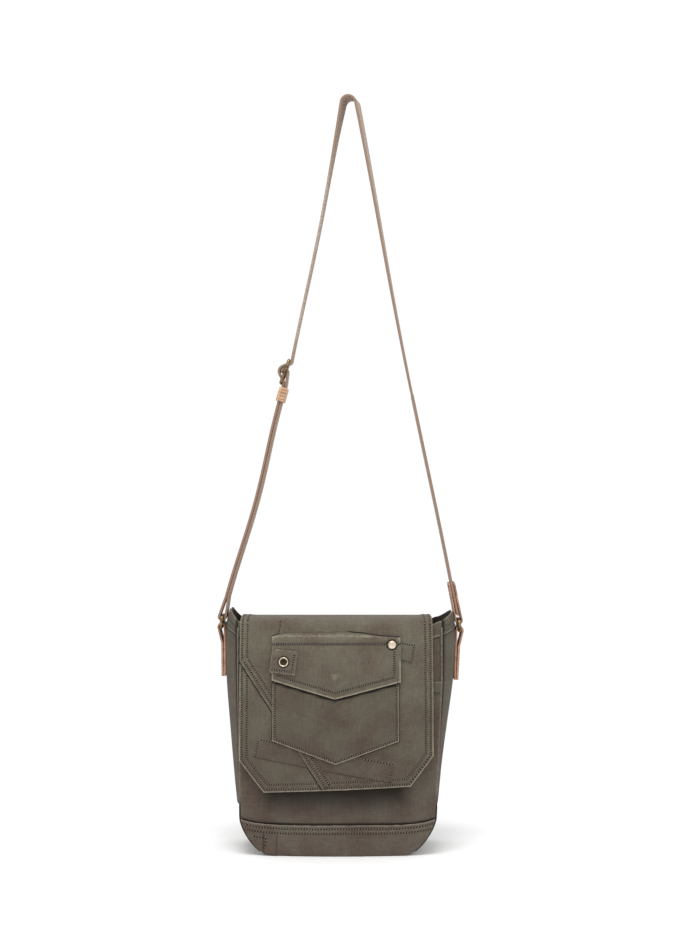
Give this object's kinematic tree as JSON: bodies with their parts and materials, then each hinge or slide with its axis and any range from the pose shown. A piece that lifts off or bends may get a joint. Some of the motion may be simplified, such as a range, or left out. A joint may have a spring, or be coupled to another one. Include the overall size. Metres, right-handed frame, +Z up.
{
  "type": "canvas shoulder bag",
  "caption": "Small washed-canvas shoulder bag with a pocketed front flap, leather tabs and one long webbing strap, held up by the strap.",
  "frame": {"origin": "underside of the strap's top, where the bag hangs", "axes": "+X towards the side of the strap's leather end, +Y from the flap's front to the back, +Z up"},
  "size_m": [0.2445, 0.1052, 0.75],
  "materials": {
    "body_canvas": "washed olive cotton canvas",
    "flap_canvas": "washed olive cotton canvas, faded on top",
    "tab_leather": "oiled brown leather",
    "strap_webbing": "sand-coloured cotton webbing",
    "antique_brass": "antiqued brass",
    "rivet_nickel": "pale satin nickel"
  },
  "bodies": {
    "root": {"front_panel": "body_canvas", "back_panel": "body_canvas", "gusset_left": "body_canvas", "gusset_right": "body_canvas", "bottom_strip": "body_canvas", "front_pocket": "body_canvas", "base_band": "body_canvas", "flap": "flap_canvas", "diagonal_seam": "flap_canvas", "patch_upper": "flap_canvas", "patch_lower_left": "flap_canvas", "patch_lower_right": "flap_canvas", "flap_pocket": "flap_canvas", "pocket_flap": "flap_canvas", "eyelet_tab": "flap_canvas", "eyelet": "antique_brass", "rivet": "rivet_nickel", "tab_left": "tab_leather", "tab_right": "tab_leather", "ring_left": "antique_brass", "ring_right": "antique_brass", "strap_webbing": "strap_webbing", "strap_end_leather": "tab_leather", "slider": "antique_brass", "strap_keeper": "tab_leather"}
  },
  "joints": []
}
